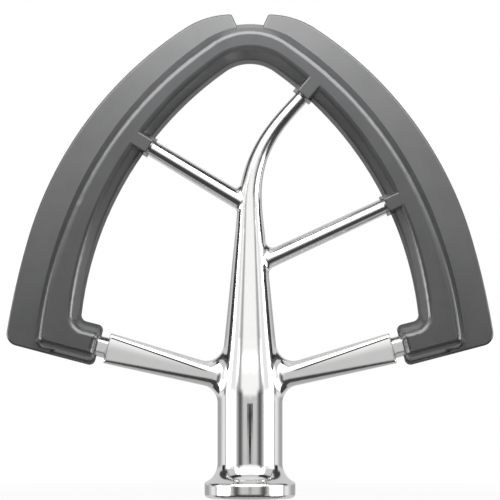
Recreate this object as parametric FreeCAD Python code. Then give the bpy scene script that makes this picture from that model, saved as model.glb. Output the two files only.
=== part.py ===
"""Stand mixer flat beater: a cast steel frame with a flexible edge moulded over its outer loop.

Sizes are in millimetres. X runs across the beater, Y through its thickness, Z along the hub.
The origin is the middle of the collar's end face, where the mixer's shaft goes in.
"""

import FreeCAD
import Part
import math
import os
from FreeCAD import Vector

# Collar and hub
collar_diameter = 25.6
collar_height = 4.6
collar_foot_radius = 1.3
collar_lip_radius = 0.7
collar_lip_turn = 30.0
flare_radius = 5.8
hub_diameter = 18.3
shoulder_start = 27.0
shoulder_end = 45.0

# Socket for the mixer's shaft, with the slot that hooks over the shaft's pin
shaft_diameter = 14.0
shaft_clearance = 0.3
socket_depth = 29.0
socket_chamfer = 0.6
socket_end_chamfer = 2.0
pin_diameter = 4.4
pin_clearance = 0.4
pin_reach = 10.6
slot_top = 19.0
slot_turn = 34.0
slot_hook = 2.4

# Trunk, whose top goes on as the curved spoke
trunk_taper = 0.2
trunk_waist_height = 61.2
trunk_waist_diameter = 11.0
limb_start = 75.0
limb_bend_height = 83.0
limb_lean = 40.5
limb_bend_radius = 34.7
limb_end_diameter = 4.1

# Straight spokes: height where the axis leaves the trunk, rise above level, end diameters
left_spoke = {"height": 81.8, "rise": 31.0, "root": 5.1, "tip": 4.6, "blend": 1.3}
right_spoke = {"height": 64.6, "rise": 24.8, "root": 5.0, "tip": 4.5, "blend": 2.0}

# Arms, which widen and draw together from the hub outwards
arm_height = 31.7
arm_rise = 14.6
arm_length = 41.5
arm_root_thickness = 8.6
arm_tip_thickness = 5.8
arm_root_depth = 5.7
arm_tip_depth = 8.7
arm_root_corner = 2.7
arm_tip_corner = 0.9
arm_tip_edge = 0.3
arm_blend = 5.0

# Loop inside the flexible edge, and how far its ends run on into the arms
loop_depth = 5.8
loop_thickness = 5.2
loop_edge_chamfer = 1.2
loop_corner = 4.0
loop_end_corner = 1.8
loop_root = 4.0

# Flexible edge: a band round the loop, with drafted walls, and legs that leave the arm necks bare
band_outer_radius = 109.0
band_depth = 11.8
band_half_width = 59.8
band_tip_depth = 11.2
band_tip_radius = 26.2
band_half_thickness = 5.5
band_skirt_turn = 66.0
band_skirt_radius = 130.0
parting_land = 0.35
margin_half = 1.6
margin_step = 0.1
face_inner_inset = 2.7
face_inner_tip_inset = 4.3
face_outer_inset = 1.5
face_outer_tip_inset = 1.5
face_narrowing = 1.9
face_edge_radius = 2.0
neck_length = 2.4
leg_half_depth = 5.8
leg_face_inset = 2.6
leg_inner_corner = 1.8
leg_outer_corner = 3.6
leg_end_corner = 1.6
leg_end_inset = 1.0

# Blades outside the band, which go on thinning for the spread past their rise at the crest
crest_x = 5.2
crest_height = 136.0
crest_radius = 24.0
crest_turn = 33.0
flank_turn = 40.7
skirt_radius = 219.0
blade_corner = 3.4
blade_width = 7.0
blade_rise = 2.7
blade_root_depth = 1.8
blade_root_half = 2.1
blade_edge_half = 0.9
blade_rim_radius = 0.55
blade_spread = 5.4
notch_lean = 25.0
notch_corner = 0.8

# Bosses round the spoke ends
boss_width = 5.9
boss_face_width = 3.9
boss_reach = 1.2
boss_face_setback = 0.9
boss_edge_radius = 0.35

# Turn that puts the seam of a round surface on the front, clear of arms, spokes and slot
seam_turn = -90.0

# Sizes that follow
hub_radius = hub_diameter / 2
collar_radius = collar_diameter / 2
socket_radius = (shaft_diameter + shaft_clearance) / 2
slot_width = pin_diameter + pin_clearance
band_outer_tip = crest_height - blade_rise
band_inner_tip = band_outer_tip - band_tip_depth
band_inner_radius = band_outer_radius - band_depth
side_centre_x = band_outer_radius - band_half_width
tip_centre_rise = math.sqrt((band_outer_radius - band_tip_radius) ** 2 - side_centre_x**2)
side_centre_height = band_outer_tip - band_tip_radius - tip_centre_rise
leg_start = arm_length + neck_length
loop_middle_radius = (band_inner_radius + band_outer_radius) / 2
loop_middle_tip = (band_inner_tip + band_outer_tip) / 2
blade_root_radius = band_outer_radius - blade_root_depth


def trunk_diameter(height):
    """Diameter of the straight cone of the trunk at a height."""
    return trunk_waist_diameter - trunk_taper * (height - trunk_waist_height)


def at(x, z, y=0.0):
    """Point from its place across, its height and its place through the thickness."""
    return Vector(x, y, z)


def edge(points):
    """Line through two points, or arc through three."""
    if len(points) == 2:
        return Part.makeLine(*points)
    return Part.Arc(*points).toShape()


def mirrored(runs):
    """The same runs of points on the other side of the hub's axis, in reverse order."""
    flipped = []
    for run in reversed(runs):
        flipped.append([at(-p.x, p.z, p.y) for p in reversed(run)])
    return flipped


def on_arc(centre, start, end):
    """Three points on the short arc round a centre from start to end."""
    half = (start - centre).normalize() + (end - centre).normalize()
    middle = centre + half.normalize() * (start - centre).Length
    return [start, middle, end]


def leg_point(along, above, y=0.0):
    """Point beside the left arm's axis: distance out from the hub, and distance above the axis."""
    a = math.radians(arm_rise)
    x = -along * math.cos(a) + above * math.sin(a)
    z = arm_height + along * math.sin(a) + above * math.cos(a)
    return at(x, z, y)


def run_to(start, way, centre, radius, leaving=True):
    """Distance along a line to the place where it leaves a circle, or where it enters it."""
    offset = start - centre
    half = offset.dot(way)
    root = math.sqrt(half * half - offset.dot(offset) + radius * radius)
    return root - half if leaving else -root - half


def side_centre(side, y=0.0):
    """Centre of the circles that shape one side; side is -1 for left, 1 for right."""
    return at(-side * side_centre_x, side_centre_height, y)


def leg_corner(centre, radius, above, corner, y):
    """Rounding between a line beside the left arm's axis and a circle that it runs into."""
    start = leg_point(0, above + corner, y)
    way = leg_point(1, above + corner, y) - start
    middle = start + way * run_to(start, way, centre, radius - corner)
    on_line = middle - (leg_point(0, 1) - leg_point(0, 0)) * corner
    on_circle = centre + (middle - centre).normalize() * radius
    return on_arc(middle, on_line, on_circle)


def tip_arc(centre, radius, tip, y=0.0):
    """Arc over the tip, at a height on the hub's axis, that runs smoothly into both side circles."""
    rise = tip - centre.z
    reach = radius * radius - centre.x * centre.x - rise * rise
    small = reach / (2 * (radius - rise))
    middle = at(0, tip - small, y)
    start = centre + (middle - centre).normalize() * radius
    return [start, at(0, tip, y), at(-start.x, start.z, y)]


def side_runs(centre, circle, above, end):
    """Runs from a leg's corner up a side circle to its end, by way of a flared skirt if it has one."""
    y = centre.y
    if "skirt" not in circle:
        corner = leg_corner(centre, circle["radius"], above, circle["corner"], y)
        return [corner, on_arc(centre, corner[2], end)]
    way = heading(band_skirt_turn)
    bend = centre + way * circle["radius"]
    low = bend - way * circle["skirt"]
    corner = leg_corner(low, circle["skirt"], above, circle["corner"], y)
    return [corner, on_arc(low, corner[2], bend), on_arc(centre, bend, end)]


def band_outline(y, inner, outer, leg):
    """Closed outline of a band that runs from the left leg over the tip to the right leg.

    inner and outer hold the side circle's centre height and radius, the tip's height and the
    corner's radius, and the skirt's radius where the side flares. leg holds half its depth, the
    place of its end and its end corner.
    """
    sides = []
    tips = []
    for circle, above in ((outer, -leg["half"]), (inner, leg["half"])):
        centre = at(side_centre_x, circle["height"], y)
        tip = tip_arc(centre, circle["radius"], circle["tip"], y)
        side = side_runs(centre, circle, above, tip[0])
        side.insert(0, [leg_point(leg["start"] + leg["corner"], above, y), side[0][0]])
        sides.append(side)
        tips.append(tip)
    out, across = leg["start"] + leg["corner"], leg["half"] - leg["corner"]
    upper = on_arc(leg_point(out, across, y), sides[1][0][0], leg_point(leg["start"], across, y))
    lower = on_arc(leg_point(out, -across, y), leg_point(leg["start"], -across, y), sides[0][0][0])
    end = [upper, [upper[2], lower[0]], lower]
    back = [list(reversed(run)) for run in reversed(sides[1])]
    right_end = mirrored(end)
    runs = sides[0] + [tips[0]] + mirrored(sides[0]) + right_end
    runs += mirrored(back) + [list(reversed(tips[1]))] + back + end
    return Part.Wire([edge(run) for run in runs])


def midpoint(e):
    """Point halfway along an edge."""
    return e.valueAt((e.FirstParameter + e.LastParameter) / 2)


def seam(shape, one, other):
    """Edges of a joined shape that lie on the skins of both shapes it was joined from."""
    found = []
    for e in shape.Edges:
        middle = Part.Vertex(midpoint(e))
        near = [middle.distToShape(skin)[0] < 1e-3 for s in (one, other) for skin in s.Shells]
        if all(near):
            found.append(e)
    return found


def blended(one, other, radius):
    """Two shapes joined, with a fillet along the seam between them."""
    joined = one.fuse(other).removeSplitter()
    return joined.makeFillet(radius, seam(joined, one, other))


def stem():
    """Collar, hub and trunk, turned about the hub's axis."""
    foot, lip = collar_foot_radius, collar_lip_radius
    s = math.sqrt(0.5)
    lip_middle = at(collar_radius - lip, collar_height - lip)
    turn = math.radians(collar_lip_turn)
    lip_end = lip_middle + at(lip * math.sin(turn), lip * math.cos(turn))
    flare_centre = at(hub_radius + flare_radius, 0)
    flare_centre.z = lip_end.z + math.sqrt(flare_radius**2 - (flare_centre.x - lip_end.x) ** 2)
    runs = [
        [at(0, 0), at(collar_radius - foot, 0)],
        [
            at(collar_radius - foot, 0),
            at(collar_radius - foot + foot * s, foot - foot * s),
            at(collar_radius, foot),
        ],
        [at(collar_radius, foot), at(collar_radius, lip_middle.z)],
        on_arc(lip_middle, at(collar_radius, lip_middle.z), lip_end),
        on_arc(flare_centre, lip_end, at(hub_radius, flare_centre.z)),
        [at(hub_radius, flare_centre.z), at(hub_radius, shoulder_start)],
    ]
    edges = [edge(run) for run in runs]
    low, high = at(hub_radius, shoulder_start), at(trunk_diameter(shoulder_end) / 2, shoulder_end)
    reach = (shoulder_end - shoulder_start) / 3
    shoulder = Part.BezierCurve()
    shoulder.setPoles([low, low + at(0, reach), high - at(-trunk_taper / 2, 1) * reach, high])
    edges.append(shoulder.toShape())
    top = at(trunk_diameter(limb_start) / 2, limb_start)
    edges.append(edge([high, top]))
    edges.append(edge([top, at(0, limb_start)]))
    edges.append(edge([at(0, limb_start), at(0, 0)]))
    turned = Part.Face(Part.Wire(edges)).revolve(Vector(), Vector(0, 0, 1), 360)
    turned.rotate(Vector(), Vector(0, 0, 1), seam_turn)
    return turned


def limb_place(along):
    """Point and direction on the curved spoke's axis, at a distance from its start."""
    lean = math.radians(limb_lean)
    straight = limb_bend_height - limb_start
    bend = limb_bend_radius * lean
    a = min(max((along - straight) / limb_bend_radius, 0), lean)
    x = limb_bend_radius * (1 - math.cos(a))
    z = limb_start + min(along, straight) + limb_bend_radius * math.sin(a)
    beyond = max(along - straight - bend, 0)
    way = at(math.sin(a), math.cos(a))
    return at(x, z) + way * beyond, way


def limb_straight():
    """Start and direction of the curved spoke's straight end, and its distance along the axis."""
    along = limb_bend_height - limb_start + limb_bend_radius * math.radians(limb_lean)
    start, way = limb_place(along)
    return start, way, along


def limb():
    """Curved spoke: round sections along its axis, thinning until it reaches its end diameter."""
    start, way, bent = limb_straight()
    length = bent + run_to(start, way, side_centre(1), loop_middle_radius)
    first = trunk_diameter(limb_start)
    thinning = 2 * (first - limb_end_diameter) / trunk_taper
    sections = []
    count = 5
    for i in range(count + 1):
        along = length * i / count
        left = max(1 - along / thinning, 0)
        diameter = limb_end_diameter + (first - limb_end_diameter) * left * left
        place, way = limb_place(along)
        lean = math.degrees(math.atan2(way.x, way.z))
        circle = Part.makeCircle(diameter / 2)
        circle.rotate(Vector(), Vector(0, 0, 1), seam_turn)
        circle.rotate(Vector(), Vector(0, 1, 0), lean)
        circle.translate(place)
        sections.append(Part.Wire(circle))
    return Part.makeLoft(sections, True, False)


def spoke_axis(spoke, side):
    """Start on the hub's axis and direction of a straight spoke; side is -1 for left, 1 for right."""
    rise = math.radians(spoke["rise"])
    return at(0, spoke["height"]), at(side * math.cos(rise), math.sin(rise))


def straight_spoke(spoke, side):
    """Straight spoke, tapering from the trunk's axis to the middle of the loop."""
    start, way = spoke_axis(spoke, side)
    length = run_to(start, way, side_centre(side), loop_middle_radius)
    return Part.makeCone(spoke["root"] / 2, spoke["tip"] / 2, length, start, way)


def arm_section(along, depth, thickness, corner):
    """Section of the left arm across its axis, a rectangle with rounded corners."""
    h, w = depth / 2, thickness / 2
    c = corner
    s = corner * (1 - math.sqrt(0.5))
    runs = []
    for sign in (1, -1):
        near = [(h, -w + c), (h, w - c)]
        bend = [(h, w - c), (h - s, w - s), (h - c, w)]
        side = [(h - c, w), (-h + c, w)]
        turn = [(-h + c, w), (-h + s, w - s), (-h, w - c)]
        for run in (near, bend, side, turn):
            runs.append([leg_point(along, sign * u, sign * v) for u, v in run])
    return Part.Wire([edge(run) for run in runs])


def left_arm():
    """Left arm, its flat front and back faces widening and drawing together towards its end."""
    sections = [
        arm_section(0, arm_root_depth, arm_root_thickness, arm_root_corner),
        arm_section(arm_length, arm_tip_depth, arm_tip_thickness, arm_tip_corner),
    ]
    arm = Part.makeLoft(sections, True, True)
    end = leg_point(arm_length, 0)
    face = min(arm.Faces, key=lambda f: (f.CenterOfMass - end).Length)
    return arm.makeFillet(arm_tip_edge, face.Edges)


def other_side(shape):
    """The shape on the other side of the hub's axis."""
    return shape.mirror(Vector(), Vector(1, 0, 0))


def loop():
    """Loop that joins the arm ends and the spoke ends inside the flexible edge."""
    half = loop_depth / 2
    y = -loop_thickness / 2
    inner = {
        "height": side_centre_height,
        "radius": loop_middle_radius - half,
        "tip": loop_middle_tip - half,
        "corner": loop_corner,
    }
    outer = {
        "height": side_centre_height,
        "radius": loop_middle_radius + half,
        "tip": loop_middle_tip + half,
        "corner": loop_corner + loop_depth,
    }
    leg = {"half": half, "start": arm_length - loop_root, "corner": loop_end_corner}
    face = Part.Face(band_outline(y, inner, outer, leg))
    bar = face.extrude(Vector(0, loop_thickness, 0))
    long_edges = [e for e in bar.Edges if e.BoundBox.YLength < 1e-6]
    return bar.makeChamfer(loop_edge_chamfer, long_edges)


def pin_track(turn, low, high):
    """Space that the shaft's pin takes up on its way between two heights, at a turn about the hub."""
    half = slot_width / 2
    track = Part.makeBox(slot_width, pin_reach, high - low, Vector(-half, 0, low))
    for height in (low, high):
        track = track.fuse(Part.makeCylinder(half, pin_reach, at(0, height), Vector(0, 1, 0)))
    track.rotate(Vector(), Vector(0, 0, 1), turn)
    return track


def socket():
    """Hole for the shaft, and the hooked slot for its pin on the back of the hub."""
    hole = Part.makeCylinder(socket_radius, socket_depth)
    top = max(hole.Edges, key=lambda e: e.CenterOfMass.z)
    hole = hole.makeChamfer(socket_end_chamfer, [top])
    mouth = Part.makeCone(socket_radius + socket_chamfer, socket_radius, socket_chamfer)
    pin_height = slot_top - slot_width / 2
    low, high = pin_height - slot_width / 2, pin_height + slot_width / 2
    corners = [at(0, low), at(0, low, pin_reach), at(0, high, pin_reach), at(0, high)]
    section = Part.Face(Part.makePolygon(corners + corners[:1]))
    across = section.revolve(Vector(), Vector(0, 0, 1), slot_turn)
    way_in = pin_track(0, -slot_width, pin_height)
    hook = pin_track(slot_turn, pin_height - slot_hook, pin_height)
    return hole.multiFuse([mouth, across, way_in, hook])


def beater_frame():
    """The whole casting."""
    casting = stem().fuse(limb()).removeSplitter()
    for spoke, side in ((left_spoke, -1), (right_spoke, 1)):
        casting = blended(casting, straight_spoke(spoke, side), spoke["blend"])
    arm = left_arm()
    for one in (arm, other_side(arm)):
        casting = blended(casting, one, arm_blend)
    return casting.fuse(loop()).removeSplitter().cut(socket())


def band():
    """Band of the flexible edge: walls drafted from the parting line to a narrower face each side."""
    middle = (
        {
            "height": side_centre_height,
            "radius": band_inner_radius + margin_step,
            "tip": band_inner_tip + margin_step,
            "corner": leg_inner_corner + margin_step,
        },
        {
            "height": side_centre_height,
            "radius": band_outer_radius,
            "skirt": band_skirt_radius,
            "tip": band_outer_tip,
            "corner": leg_outer_corner,
        },
        {
            "half": leg_half_depth - margin_step,
            "start": leg_start + margin_step,
            "corner": leg_end_corner,
        },
    )
    face = (
        {
            "height": side_centre_height + face_narrowing,
            "radius": band_inner_radius + face_inner_inset,
            "tip": band_inner_tip + face_inner_tip_inset,
            "corner": leg_inner_corner + face_inner_inset,
        },
        {
            "height": side_centre_height - face_narrowing,
            "radius": band_outer_radius - face_outer_inset,
            "skirt": band_skirt_radius - face_outer_inset,
            "tip": band_outer_tip - face_outer_tip_inset,
            "corner": leg_outer_corner - face_outer_inset,
        },
        {
            "half": leg_half_depth - leg_face_inset,
            "start": leg_start + leg_end_inset,
            "corner": leg_end_corner,
        },
    )
    t = band_half_thickness
    wires = [
        band_outline(-t, *face),
        band_outline(-parting_land, *middle),
        band_outline(parting_land, *middle),
        band_outline(t, *face),
    ]
    solid = Part.makeLoft(wires, True, True)
    rims = [e for e in solid.Edges if abs(e.CenterOfMass.y) > t - 1e-6]
    return solid.makeFillet(face_edge_radius, rims)


def margin():
    """Thin rim at the parting line, seen round the band's inner side and its legs."""
    inner = {
        "height": side_centre_height,
        "radius": band_inner_radius,
        "tip": band_inner_tip,
        "corner": leg_inner_corner,
    }
    outer = {
        "height": side_centre_height,
        "radius": blade_root_radius,
        "skirt": band_skirt_radius - blade_root_depth,
        "tip": band_outer_tip - blade_root_depth,
        "corner": leg_outer_corner,
    }
    leg = {"half": leg_half_depth, "start": leg_start, "corner": leg_end_corner}
    face = Part.Face(band_outline(-margin_half, inner, outer, leg))
    return face.extrude(Vector(0, 2 * margin_half, 0))


def heading(turn):
    """Unit vector in the plane of the beater, turned from +Z towards -X by an angle in degrees."""
    a = math.radians(turn)
    return at(-math.sin(a), math.cos(a))


def blade_edge():
    """Runs of the left blade's outer edge: arcs over crest, flank and skirt, then a corner.

    Each arc flows into the next. The flank's is as large as takes the blade out to its width.
    """
    crest = at(-crest_x, crest_height)
    crest_centre = crest - at(0, crest_radius)
    way = heading(crest_turn)
    flank_start = crest_centre + way * crest_radius
    flank_radius = (band_half_width + blade_width + flank_start.x) / (1 + way.x)
    flank_centre = flank_start - way * flank_radius
    way = heading(crest_turn + flank_turn)
    skirt_start = flank_centre + way * flank_radius
    skirt_centre = skirt_start - way * skirt_radius
    corner = leg_corner(skirt_centre, skirt_radius, -leg_half_depth, blade_corner, 0)
    return [
        on_arc(crest_centre, crest, flank_start),
        on_arc(flank_centre, flank_start, skirt_start),
        on_arc(skirt_centre, skirt_start, corner[2]),
        list(reversed(corner)),
    ]


def left_blade():
    """Left blade, thick where it leaves the band and thin at its outer edge."""
    edge_runs = blade_edge()
    centre = side_centre(-1)
    top = edge_runs[0][0]
    way = heading(notch_lean)
    foot = top + way * ((loop_middle_tip - top.z) / way.z)
    bend = tip_arc(centre, band_outer_radius, band_outer_tip)[0]
    bend = centre + (bend - centre).normalize() * blade_root_radius
    corner = leg_corner(centre, blade_root_radius, -leg_half_depth, leg_outer_corner, 0)
    root_runs = [[corner[0], corner[2]], on_arc(centre, corner[2], bend), [bend, foot]]
    ends = [[foot, top], [edge_runs[-1][2], corner[0]]]
    root = Part.Wire([edge(run) for run in root_runs])
    outline = Part.Wire([edge(run) for run in root_runs + ends[:1] + edge_runs + ends[1:]])
    deep = 2 * blade_root_half
    slab = Part.Face(outline).extrude(Vector(0, 2 * deep, 0))
    slab.translate(Vector(0, -deep, 0))
    notch_edge = [e for e in slab.Edges if (e.CenterOfMass - top).Length < 1e-3]
    slab = slab.makeFillet(notch_corner, notch_edge)
    slope = (blade_root_half - blade_edge_half) / (blade_rise + blade_spread)
    inside, outside = band_inner_radius, band_outer_radius + 2 * blade_spread
    thick = blade_root_half + slope * (band_outer_radius - inside)
    thin = blade_root_half - slope * (outside - band_outer_radius)
    section = [(inside, thick), (outside, thin), (outside, -thin), (inside, -thick), (inside, thick)]
    ring = Part.Face(Part.makePolygon([at(centre.x - r, centre.z, y) for r, y in section]))
    wedge = ring.revolve(centre, Vector(0, 1, 0), 360)
    blade = slab.common(wedge)
    rims = []
    for e in seam(blade, slab, wedge):
        middle = midpoint(e)
        if Part.Vertex(at(middle.x, middle.z)).distToShape(root)[0] > 1e-3:
            rims.append(e)
    return blade.makeFillet(blade_rim_radius, rims)


def boss(start, way, side):
    """Boss of the flexible edge round the end of a spoke, drafted like the band."""
    across = at(-way.z, way.x)
    near = run_to(start, way, side_centre(side), band_inner_radius) - boss_reach
    far = run_to(start, way, side_centre(side), loop_middle_radius)
    levels = [
        (-band_half_thickness, boss_face_width, near + boss_face_setback),
        (-parting_land, boss_width, near),
        (parting_land, boss_width, near),
        (band_half_thickness, boss_face_width, near + boss_face_setback),
    ]
    wires = []
    for y, width, first in levels:
        corners = [(first, -width), (far, -width), (far, width), (first, width), (first, -width)]
        points = [start + way * u + across * (v / 2) + at(0, 0, y) for u, v in corners]
        wires.append(Part.makePolygon(points))
    block = Part.makeLoft(wires, True, True)
    outer_end = start + way * far
    rims = []
    for e in block.Edges:
        place = e.CenterOfMass - outer_end
        if abs(place.y) > band_half_thickness - 1e-6 and abs(place.dot(way)) > 1e-6:
            rims.append(e)
    return block.makeFillet(boss_edge_radius, rims)


def silicone_edge(frame):
    """The whole moulding: band, blades and bosses, with the space that the frame takes up left out."""
    blade = left_blade()
    pieces = [margin(), blade, other_side(blade)]
    for spoke, side in ((left_spoke, -1), (right_spoke, 1)):
        pieces.append(boss(*spoke_axis(spoke, side), side))
    pieces.append(boss(*limb_straight()[:2], 1))
    return band().multiFuse(pieces).removeSplitter().cut(frame)


def main():
    """Build both pieces and write a STEP file for each."""
    frame = beater_frame()
    pieces = {"beater_frame": frame, "silicone_edge": silicone_edge(frame)}
    os.makedirs("parts", exist_ok=True)
    for name, shape in pieces.items():
        shape.exportStep(f"parts/{name}.step")


if __name__ == "__main__":
    main()
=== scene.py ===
"""Looks of a stand mixer flat beater: finishes for its two pieces, the studio and the camera.

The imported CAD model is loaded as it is. The polished casting and the soft edge keep their CAD
shapes and get finishes made of shader nodes. Lengths are in metres and angles in degrees.
"""

from __future__ import annotations

import logging
import math
from dataclasses import dataclass, field
from enum import Enum
from typing import Any, Mapping, Union

import bpy
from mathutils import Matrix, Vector

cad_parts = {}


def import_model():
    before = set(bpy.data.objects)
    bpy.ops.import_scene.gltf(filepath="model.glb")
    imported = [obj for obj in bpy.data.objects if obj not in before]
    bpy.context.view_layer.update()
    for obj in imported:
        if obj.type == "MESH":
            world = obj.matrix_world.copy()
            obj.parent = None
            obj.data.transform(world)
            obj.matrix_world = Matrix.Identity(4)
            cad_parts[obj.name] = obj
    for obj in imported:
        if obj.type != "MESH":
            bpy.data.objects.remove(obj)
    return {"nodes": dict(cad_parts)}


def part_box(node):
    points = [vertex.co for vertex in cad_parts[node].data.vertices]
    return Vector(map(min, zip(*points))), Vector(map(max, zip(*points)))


LOG = logging.getLogger("beater")
MM_PER_METRE = 1000.0

Pair = tuple[float, float]
Triple = tuple[float, float, float]
Number = Union[float, "Value"]
Socket = bpy.types.NodeSocket
Nodes = Mapping[str, bpy.types.Object]


class Slot(Enum):
    """The record's material slots."""

    STEEL = "steel"
    SILICONE = "silicone"


class Blend(Enum):
    """What a Mix node blends: its data type, then the places of its two inputs and its output."""

    COLOUR = ("RGBA", 6, 7, 2)
    VECTOR = ("VECTOR", 4, 5, 1)


class Value:
    """A shader socket that carries one number; arithmetic on it adds Math nodes."""

    def __init__(self, graph: Graph, socket: Socket) -> None:
        """Wrap a socket of a node in the given graph."""
        self.graph = graph
        self.socket = socket

    def __add__(self, other: Number) -> Value:
        """Sum."""
        return self.graph.math("ADD", self, other)

    def __radd__(self, other: Number) -> Value:
        """Sum, with the value second."""
        return self.graph.math("ADD", other, self)

    def __sub__(self, other: Number) -> Value:
        """Difference."""
        return self.graph.math("SUBTRACT", self, other)

    def __rsub__(self, other: Number) -> Value:
        """Difference, with the value second."""
        return self.graph.math("SUBTRACT", other, self)

    def __mul__(self, other: Number) -> Value:
        """Product."""
        return self.graph.math("MULTIPLY", self, other)

    def __rmul__(self, other: Number) -> Value:
        """Product, with the value second."""
        return self.graph.math("MULTIPLY", other, self)

    def __truediv__(self, other: Number) -> Value:
        """Quotient."""
        return self.graph.math("DIVIDE", self, other)

    def __rtruediv__(self, other: Number) -> Value:
        """Quotient, with the value second."""
        return self.graph.math("DIVIDE", other, self)

    def __pow__(self, other: Number) -> Value:
        """Power."""
        return self.graph.math("POWER", self, other)

    def __rpow__(self, other: Number) -> Value:
        """Power, with the value second."""
        return self.graph.math("POWER", other, self)

    def __neg__(self) -> Value:
        """Negative."""
        return self.graph.math("MULTIPLY", self, -1.0)

    def __abs__(self) -> Value:
        """Size without its sign."""
        return self.graph.math("ABSOLUTE", self)

    def at_least(self, other: Number) -> Value:
        """The larger of the two."""
        return self.graph.math("MAXIMUM", self, other)

    def ramp(self, low: float, high: float) -> Value:
        """Smooth step from 0 at low to 1 at high, where low may be the larger number.

        Args:
            low: Value where the step begins.
            high: Value where the step is complete.

        Returns:
            The step, from 0 to 1.
        """
        start, end = (0.0, 1.0) if low < high else (1.0, 0.0)
        first, last = sorted((low, high))
        inputs = {"Value": self, "From Min": first, "From Max": last, "To Min": start, "To Max": end}
        node = self.graph.add("ShaderNodeMapRange", {"interpolation_type": "SMOOTHSTEP"}, inputs)
        return Value(self.graph, node.outputs[0])

    def between(self, low: float, high: float, soft: float) -> Value:
        """Mask that is 1 between two numbers and fades to 0 over a soft width outside them."""
        return self.ramp(low - soft, low) * self.ramp(high + soft, high)


class Graph:
    """Adds nodes to one material's or world's tree."""

    def __init__(self, tree: bpy.types.NodeTree) -> None:
        """Start from an empty tree."""
        self.tree = tree
        tree.nodes.clear()

    def add(
        self,
        kind: str,
        settings: Mapping[str, Any] | None = None,
        inputs: Mapping[int | str, Any] | None = None,
    ) -> bpy.types.Node:
        """Add one node.

        Args:
            kind: The node's type.
            settings: Its properties, set first.
            inputs: Numbers, colours or links by socket name or place.

        Returns:
            The new node.
        """
        node = self.tree.nodes.new(kind)
        for name, setting in (settings or {}).items():
            setattr(node, name, setting)
        for name, given in (inputs or {}).items():
            socket = given.socket if isinstance(given, Value) else given
            if isinstance(socket, Socket):
                self.tree.links.new(socket, node.inputs[name])
            else:
                node.inputs[name].default_value = socket
        return node

    def math(self, operation: str, *terms: Number) -> Value:
        """Add one Math node.

        Args:
            operation: The node's operation.
            terms: Its inputs in order, numbers or values.

        Returns:
            The node's result.
        """
        node = self.add("ShaderNodeMath", {"operation": operation}, dict(enumerate(terms)))
        return Value(self, node.outputs[0])

    def place(self) -> Socket:
        """Object coordinates."""
        return self.add("ShaderNodeTexCoord").outputs["Object"]

    def split(self, vector: Socket) -> list[Value]:
        """A vector's x, y and z."""
        node = self.add("ShaderNodeSeparateXYZ", inputs={"Vector": vector})
        return [Value(self, socket) for socket in node.outputs]

    def noise(self, point: Socket, size: float, detail: float = 2.0) -> Value:
        """Noise about 0.5.

        Args:
            point: Coordinates to read.
            size: Width of a blotch in metres.
            detail: Finer layers.

        Returns:
            The noise, from 0 to 1.
        """
        inputs = {"Vector": point, "Scale": 1.0 / size, "Detail": detail}
        node = self.add("ShaderNodeTexNoise", {"noise_dimensions": "3D"}, inputs)
        return Value(self, node.outputs[0])

    def stretched(self, point: Socket, stretch: Triple) -> Socket:
        """Coordinates multiplied along each axis."""
        node = self.add("ShaderNodeVectorMath", {"operation": "MULTIPLY"}, {0: point, 1: stretch})
        return node.outputs[0]

    def mix(self, blend: Blend, factor: Number, first: Any, second: Any) -> Socket:
        """Mix two colours or two vectors.

        Args:
            blend: Which of the two they are.
            factor: Share of the second.
            first: Colour or vector at 0.
            second: Colour or vector at 1.

        Returns:
            The mixed colour or vector.
        """
        kind, low, high, mixed = blend.value
        node = self.add("ShaderNodeMix", {"data_type": kind}, {0: factor, low: first, high: second})
        return node.outputs[mixed]

    def bump(self, height: Value, normal: Socket | None = None) -> Socket:
        """Normal of a surface raised by a height.

        Args:
            height: The height in metres.
            normal: Normal to start from, if not the mesh's own.

        Returns:
            The new normal.
        """
        inputs: dict[int | str, Any] = {"Strength": 1.0, "Distance": 1.0, "Height": height}
        if normal is not None:
            inputs["Normal"] = normal
        return self.add("ShaderNodeBump", inputs=inputs).outputs[0]

    def surface(self, shader: bpy.types.Node, kind: str = "ShaderNodeOutputMaterial") -> None:
        """Connect the finished shader to the tree's output."""
        self.add(kind, inputs={"Surface": shader.outputs[0]})


def new_material(name: str) -> tuple[bpy.types.Material, Graph]:
    """Make a material with an empty node tree.

    Args:
        name: The material's name.

    Returns:
        The material and the graph of its nodes.
    """
    material = bpy.data.materials.new(name)
    material.use_nodes = True
    return material, Graph(material.node_tree)


def opaque(colour: Triple) -> tuple[float, float, float, float]:
    """A colour with full opacity, as sockets take it."""
    return (*colour, 1.0)


def from_axis(x: Value, y: Value) -> Value:
    """Distance from the hub's upright axis."""
    return (x * x + y * y) ** 0.5


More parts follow.
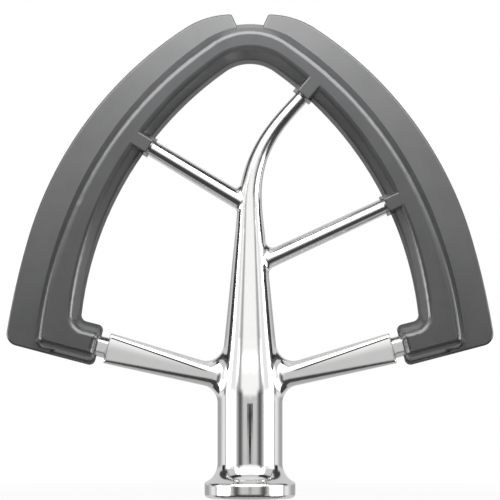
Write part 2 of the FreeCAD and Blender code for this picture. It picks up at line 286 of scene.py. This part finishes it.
@dataclass(frozen=True)
class PolishedSteel:
    """Stainless casting, polished to a mirror outside and turned in its socket and end face."""

    colour: Triple = (0.86, 0.86, 0.855)
    shaded_colour: Triple = (0.80, 0.80, 0.795)
    polish: float = 0.035
    polish_spread: float = 0.035
    polish_range: Pair = (0.35, 0.75)
    cloud_size: float = 0.006
    wave_size: float = 0.014
    wave_height: float = 6.0e-6
    mark_size: float = 0.00035
    mark_stretch: Triple = (1.0, 1.0, 0.12)
    mark_height: float = 1.2e-7

    # Socket and end face, which keep the rings of the lathe
    socket_radius: float = 0.0074
    socket_margin: float = 0.0003
    socket_depth: float = 0.0295
    end_face_range: Pair = (0.00015, 0.00005)
    turned_roughness: float = 0.24
    ring_pitch: float = 0.00045
    ring_height: float = 2.5e-6

    # Averaging at edges, and the strip along the stem's front
    edge_radius: float = 0.0008
    edge_samples: int = 6
    front_half_width: float = 0.0013
    front_fade: float = 0.00065
    front_depth: float = 0.002
    trunk_top: float = 0.0745
    height_fade: float = 0.0005

    # Flat faces of the arms, which rise outwards from the stem
    arm_height: float = 0.0317
    arm_rise: float = 14.6
    arm_half_height: float = 0.006
    arm_fade: float = 0.0018
    arm_start: float = 0.010
    arm_blend: float = 0.008
    crown_tilt: float = 0.02
    crown_curve: float = 6.0
    crown_lean: float = 0.075
    face_start: float = 0.00015
    face_taper: float = 0.0795
    lip_width: float = 0.0005
    lip_height: float = 0.00008

    def smooth_normal(self, graph: Graph, x: Value, y: Value, z: Value, radius: Value) -> Socket:
        """Normal averaged over the edges, and corrected where the stem's mesh begins and ends.

        Args:
            graph: The material's graph.
            x: Place across.
            y: Place through the thickness.
            z: Height above the collar's end.
            radius: Distance from the hub's axis.

        Returns:
            A turned form's true normal on a strip along the stem's front, the average elsewhere.
        """
        samples = {"samples": self.edge_samples}
        average = graph.add("ShaderNodeBevel", samples, {"Radius": self.edge_radius}).outputs[0]
        rise = graph.split(average)[2]
        flat = (1.0 - rise * rise) ** 0.5 / radius
        turned = graph.add("ShaderNodeCombineXYZ", inputs={0: x * flat, 1: y * flat, 2: rise})
        strip = abs(x).ramp(self.front_half_width + self.front_fade, self.front_half_width)
        strip = strip * y.ramp(0.0, -self.front_depth)
        strip = strip * z.ramp(self.trunk_top + self.height_fade, self.trunk_top)
        return graph.mix(Blend.VECTOR, strip, average, turned.outputs[0])

    def crown(self, x: Value, z: Value) -> Value:
        """Height over the arms' flat faces: a slight crown and lean, and a lip along the upper edge.

        Args:
            x: Place across.
            z: Height above the collar's end.

        Returns:
            The height in metres.
        """
        rise = math.radians(self.arm_rise)
        lift = z - self.arm_height
        out = abs(x)
        above = lift * math.cos(rise) - out * math.sin(rise)
        along = lift * math.sin(rise) + out * math.cos(rise)
        near = abs(above).ramp(self.arm_half_height + self.arm_fade, self.arm_half_height)
        outward = (out - self.arm_start).at_least(0.0)
        across = above * (above * -self.crown_curve - self.crown_tilt)
        over_edge = above - along * self.face_taper - self.face_start
        lip = over_edge.ramp(-self.lip_width, 0.0) * self.lip_height
        share = out.ramp(self.arm_start, self.arm_start + self.arm_blend)
        return near * (share * (across + lip) - outward * self.crown_lean)

    def material(self) -> bpy.types.Material:
        """Build the finish.

        Returns:
            The material.
        """
        material, graph = new_material("polished_steel")
        point = graph.place()
        x, y, z = graph.split(point)
        radius = from_axis(x, y)
        socket = radius.ramp(self.socket_radius + self.socket_margin, self.socket_radius)
        socket = socket * z.ramp(self.socket_depth + self.height_fade, self.socket_depth)
        end_face = z.ramp(*self.end_face_range)
        turned = socket.at_least(end_face)
        clouds = graph.noise(point, self.cloud_size)
        roughness = self.polish + self.polish_spread * clouds.ramp(*self.polish_range)
        waves = graph.noise(point, self.wave_size, detail=0.0)
        marks = graph.noise(graph.stretched(point, self.mark_stretch), self.mark_size, detail=1.0)
        along = z * socket + radius * end_face
        rings = graph.math("SINE", along * (math.tau / self.ring_pitch)) * turned
        height = waves * self.wave_height + marks * self.mark_height + rings * self.ring_height
        height = height + self.crown(x, z)
        colours = opaque(self.colour), opaque(self.shaded_colour)
        inputs = {
            "Base Color": graph.mix(Blend.COLOUR, clouds, *colours),
            "Metallic": 1.0,
            "Roughness": roughness + turned * self.turned_roughness,
            "Normal": graph.bump(height, self.smooth_normal(graph, x, y, z, radius)),
        }
        graph.surface(graph.add("ShaderNodeBsdfPrincipled", inputs=inputs))
        return material


@dataclass(frozen=True)
class SatinSilicone:
    """Dark grey moulded silicone with a fine satin skin and a duller line where the mould parts."""

    colour: Triple = (0.092, 0.093, 0.096)
    pale_colour: Triple = (0.105, 0.106, 0.109)
    pale_range: Pair = (0.3, 0.7)
    roughness: float = 0.18
    roughness_spread: float = 0.06
    cloud_size: float = 0.009
    grain_size: float = 0.00022
    grain_height: float = 2.2e-6
    parting_half_width: float = 0.00028
    parting_fade: float = 0.000168
    parting_roughness: float = 0.28
    specular: float = 1.0
    refraction: float = 1.55

    def material(self) -> bpy.types.Material:
        """Build the finish.

        Returns:
            The material.
        """
        material, graph = new_material("satin_silicone")
        point = graph.place()
        _, y, _ = graph.split(point)
        clouds = graph.noise(point, self.cloud_size)
        grain = graph.noise(point, self.grain_size, detail=1.0)
        parting = abs(y).ramp(self.parting_half_width + self.parting_fade, self.parting_half_width)
        satin = self.roughness + self.roughness_spread * clouds
        colours = opaque(self.colour), opaque(self.pale_colour)
        inputs = {
            "Base Color": graph.mix(Blend.COLOUR, clouds.ramp(*self.pale_range), *colours),
            "Roughness": satin * (1.0 - parting) + parting * self.parting_roughness,
            "Specular IOR Level": self.specular,
            "IOR": self.refraction,
            "Normal": graph.bump(grain * self.grain_height),
        }
        graph.surface(graph.add("ShaderNodeBsdfPrincipled", inputs=inputs))
        return material


@dataclass(frozen=True)
class Piece:
    """One CAD node that keeps its shape, with the slot that its finish belongs to."""

    node: str
    slot: Slot

    def dress(self, nodes: Nodes, material: bpy.types.Material) -> None:
        """Give the node its finish.

        Args:
            nodes: The CAD nodes by name.
            material: The finish.
        """
        piece = nodes[self.node]
        for place in piece.material_slots:
            place.material = material
        low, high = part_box(self.node)
        size = " x ".join(f"{length * MM_PER_METRE:.1f}" for length in high - low)
        LOG.info("%s: %s mm, %s", self.node, size, material.name)


@dataclass
class CastFrame:
    """The polished casting: collar, hub, trunk, spokes, arms and the loop inside the soft edge."""

    piece: Piece = Piece("beater_frame", Slot.STEEL)
    finish: PolishedSteel = PolishedSteel()

    def build(self, nodes: Nodes) -> None:
        """Dress the CAD node."""
        self.piece.dress(nodes, self.finish.material())


@dataclass
class SoftEdge:
    """The moulded edge: band, blades, bosses and legs."""

    piece: Piece = Piece("silicone_edge", Slot.SILICONE)
    finish: SatinSilicone = SatinSilicone()

    def build(self, nodes: Nodes) -> None:
        """Dress the CAD node."""
        self.piece.dress(nodes, self.finish.material())


@dataclass(frozen=True)
class Card:
    """A pale or dark card that the polished metal reflects, the same on the left and the right.

    Each pair is an azimuth, counted from the camera's side of the beater, and an elevation, counted
    from the horizon: the card's centre, its reach to each side, and the soft border outside that.
    """

    centre: Pair
    reach: Pair
    soft: Pair
    level: float

    def over(self, azimuth: Value, elevation: Value, level: Number) -> Value:
        """Lay the card over what is behind it.

        Args:
            azimuth: Azimuth of the ray, without its sign.
            elevation: Elevation of the ray.
            level: Brightness behind the card.

        Returns:
            The brightness with the card in front.
        """
        wide, tall = (
            angle.between(centre - reach, centre + reach, soft)
            for angle, centre, reach, soft in zip(
                (azimuth, elevation), self.centre, self.reach, self.soft
            )
        )
        mask = wide * tall
        return level * (1.0 - mask) + mask * self.level


@dataclass(frozen=True)
class Lamp:
    """A square soft box, aimed at the beater and hidden from the camera and from reflections."""

    name: str
    azimuth: float
    elevation: float
    distance: float
    side: float
    radiance: float

    def build(self, target: Vector) -> None:
        """Place the lamp and aim it.

        Args:
            target: The point that it faces.
        """
        data = bpy.data.lights.new(self.name, "AREA")
        data.shape = "SQUARE"
        data.size = self.side
        data.energy = self.radiance * math.pi * self.side * self.side
        turn = math.radians(self.azimuth)
        lift = math.radians(self.elevation)
        flat = math.cos(lift)
        way = Vector((math.sin(turn) * flat, -math.cos(turn) * flat, math.sin(lift)))
        lamp = bpy.data.objects.new(self.name, data)
        lamp.location = target + way * self.distance
        lamp.rotation_euler = way.to_track_quat("Z", "Y").to_euler()
        lamp.visible_camera = False
        lamp.visible_glossy = False
        bpy.context.scene.collection.objects.link(lamp)


@dataclass
class Studio:
    """White floor, soft boxes, and the surroundings that the metal reflects.

    The metal sees the open level where no card hangs, and each card hangs in front of those before
    it. Matt surfaces see the ambient level instead.
    """

    floor_radius: float = 3.0
    floor_sides: int = 96
    floor_drop: float = 0.0001
    floor_colour: Triple = (0.55, 0.55, 0.55)
    # Share of grey paint in a disc round the foot: a painted shadow, with the real shadow showing in
    # it
    floor_shadow: float = 0.06
    shadow_core: float = 0.04
    shadow_reach: float = 0.16
    white: Triple = (1.0, 1.0, 1.0)
    ambient: float = 0.105
    open_level: float = 0.68
    target: Vector = field(default_factory=lambda: Vector((0.0, 0.0, 0.07)))
    cards: tuple[Card, ...] = (
        # Ground and ceiling
        Card(centre=(90, -72), reach=(90, 18), soft=(8, 6), level=0.48),
        Card(centre=(90, 84), reach=(90, 12), soft=(10, 8), level=0.85),
        # Key light in front, and the dimmer patch under it that whitens the trunk's front
        Card(centre=(22, 31), reach=(27, 13), soft=(10, 10), level=4.2),
        Card(centre=(15, 10), reach=(16, 4), soft=(10, 4), level=1.1),
        # Bright strip at each side, and the dimmer patch above it for the trunk's sides
        Card(centre=(72, -1), reach=(15, 10), soft=(7, 8), level=4.8),
        Card(centre=(65, 11), reach=(9, 4), soft=(8, 5), level=0.95),
        # Light and grey along the hub's outline, and the line between the strip and that light
        Card(centre=(106, -2), reach=(7, 9), soft=(5, 6), level=0.92),
        Card(centre=(145, -4), reach=(12, 6), soft=(14, 4), level=0.42),
        Card(centre=(96, -2), reach=(1, 6), soft=(4, 5), level=0.55),
        # Dark upper corners, the trunk's black outline and the dark line on the spokes' tops
        Card(centre=(110, 36), reach=(15, 14), soft=(9, 9), level=0.06),
        Card(centre=(107, 11), reach=(6, 7), soft=(4, 3), level=0.03),
        Card(centre=(85, 56), reach=(40, 5), soft=(8, 5), level=0.04),
        # Dark bands just below the horizon and lower down
        Card(centre=(0, -12), reach=(36, 8), soft=(6, 1.5), level=0.07),
        Card(centre=(55, -34), reach=(54, 14), soft=(8, 5), level=0.06),
        # Grey down the hub's middle, soft lines on the trunk and streaks on the hub
        Card(centre=(0, -1), reach=(6, 2.6), soft=(22, 2.0), level=0.64),
        Card(centre=(40, 12), reach=(1, 6), soft=(11, 4), level=0.42),
        Card(centre=(35, 0), reach=(1.5, 5), soft=(14, 4), level=0.12),
        # Narrow dark slit on the hub, and its foot
        Card(centre=(0, -1.5), reach=(9.5, 0.3), soft=(1.6, 0.3), level=0.03),
        Card(centre=(0, -2.05), reach=(3.4, 0.35), soft=(1.6, 0.2), level=0.03),
    )
    lamps: tuple[Lamp, ...] = (
        Lamp("near_box", azimuth=0, elevation=61, distance=0.155, side=0.08, radiance=11.5),
        Lamp("top_box", azimuth=0, elevation=84, distance=1.0, side=0.8, radiance=0.5),
        Lamp("back_box", azimuth=180, elevation=45, distance=0.6, side=0.4, radiance=4.0),
    )

    def build(self) -> None:
        """Set up the floor, the lamps and the world."""
        self.build_floor()
        for lamp in self.lamps:
            lamp.build(self.target)
        self.build_world()

    def build_floor(self) -> None:
        """Lay a round white floor under the beater that keeps a soft shadow, partly real and partly
        painted as a faint darker disc round the foot.
        """
        bpy.ops.object.select_all(action="DESELECT")
        bpy.ops.mesh.primitive_circle_add(
            vertices=self.floor_sides,
            radius=self.floor_radius,
            fill_type="NGON",
            location=(0.0, 0.0, -self.floor_drop),
        )
        floor = bpy.context.object
        floor.name = "floor"
        bpy.ops.object.transform_apply(location=True, rotation=True, scale=True)
        material, graph = new_material("white_floor")
        paint = graph.add("ShaderNodeBsdfDiffuse", inputs={"Color": opaque(self.floor_colour)})
        glow = graph.add("ShaderNodeEmission", inputs={"Color": opaque(self.white), "Strength": 1.0})
        seen = Value(graph, graph.add("ShaderNodeLightPath").outputs["Is Camera Ray"])
        x, y, _ = graph.split(graph.place())
        # Painted shadow: near the foot some grey paint, which takes the real shadow, shows through
        # the white, so a faint darker disc stays there even where no shadow falls.
        near = from_axis(x, y).ramp(self.shadow_reach, self.shadow_core)
        share = seen * (1.0 - near * self.floor_shadow)
        inputs = {0: share, 1: paint.outputs[0], 2: glow.outputs[0]}
        graph.surface(graph.add("ShaderNodeMixShader", inputs=inputs))
        floor.data.materials.append(material)
        floor.visible_glossy = False

    def build_world(self) -> None:
        """White for the camera, an even grey for matt surfaces, cards for the polished metal."""
        world = bpy.data.worlds.new("studio")
        world.use_nodes = True
        bpy.context.scene.world = world
        graph = Graph(world.node_tree)
        x, y, z = graph.split(graph.add("ShaderNodeTexCoord").outputs["Generated"])
        azimuth = graph.math("ARCTAN2", abs(x), -y) * math.degrees(1.0)
        elevation = graph.math("ARCSINE", z) * math.degrees(1.0)
        level: Number = self.open_level
        for card in self.cards:
            level = card.over(azimuth, elevation, level)
        path = graph.add("ShaderNodeLightPath")
        seen = Value(graph, path.outputs["Is Camera Ray"])
        mirrored = Value(graph, path.outputs["Is Glossy Ray"])
        strength = seen + (1.0 - seen) * (mirrored * level + (1.0 - mirrored) * self.ambient)
        inputs = {"Color": opaque(self.white), "Strength": strength}
        graph.surface(graph.add("ShaderNodeBackground", inputs=inputs), "ShaderNodeOutputWorld")
        world.cycles.sampling_method = "NONE"


@dataclass
class Viewpoint:
    """The camera, level and straight in front of the beater."""

    distance: float = 1.5
    height: float = 0.06976
    view_width: float = 0.14065
    sensor_mm: float = 36.0
    clip_start: float = 0.01
    tilt: float = 90.0

    def build(self) -> None:
        """Make the camera."""
        data = bpy.data.cameras.new("camera")
        data.sensor_width = self.sensor_mm
        data.lens = self.sensor_mm * self.distance / self.view_width
        data.clip_start = self.clip_start
        camera = bpy.data.objects.new("camera", data)
        camera.location = (0.0, -self.distance, self.height)
        camera.rotation_euler = (math.radians(self.tilt), 0.0, 0.0)
        bpy.context.scene.collection.objects.link(camera)
        bpy.context.scene.camera = camera


def main() -> None:
    """Load the model, dress its pieces, and set up the studio and the camera."""
    logging.basicConfig(level=logging.INFO, format="%(name)s: %(message)s")
    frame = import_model()
    bpy.context.view_layer.update()
    bpy.context.scene.view_settings.view_transform = "Standard"
    CastFrame().build(frame["nodes"])
    SoftEdge().build(frame["nodes"])
    Studio().build()
    Viewpoint().build()
    bpy.context.view_layer.update()


if __name__ == "__main__":
    main()
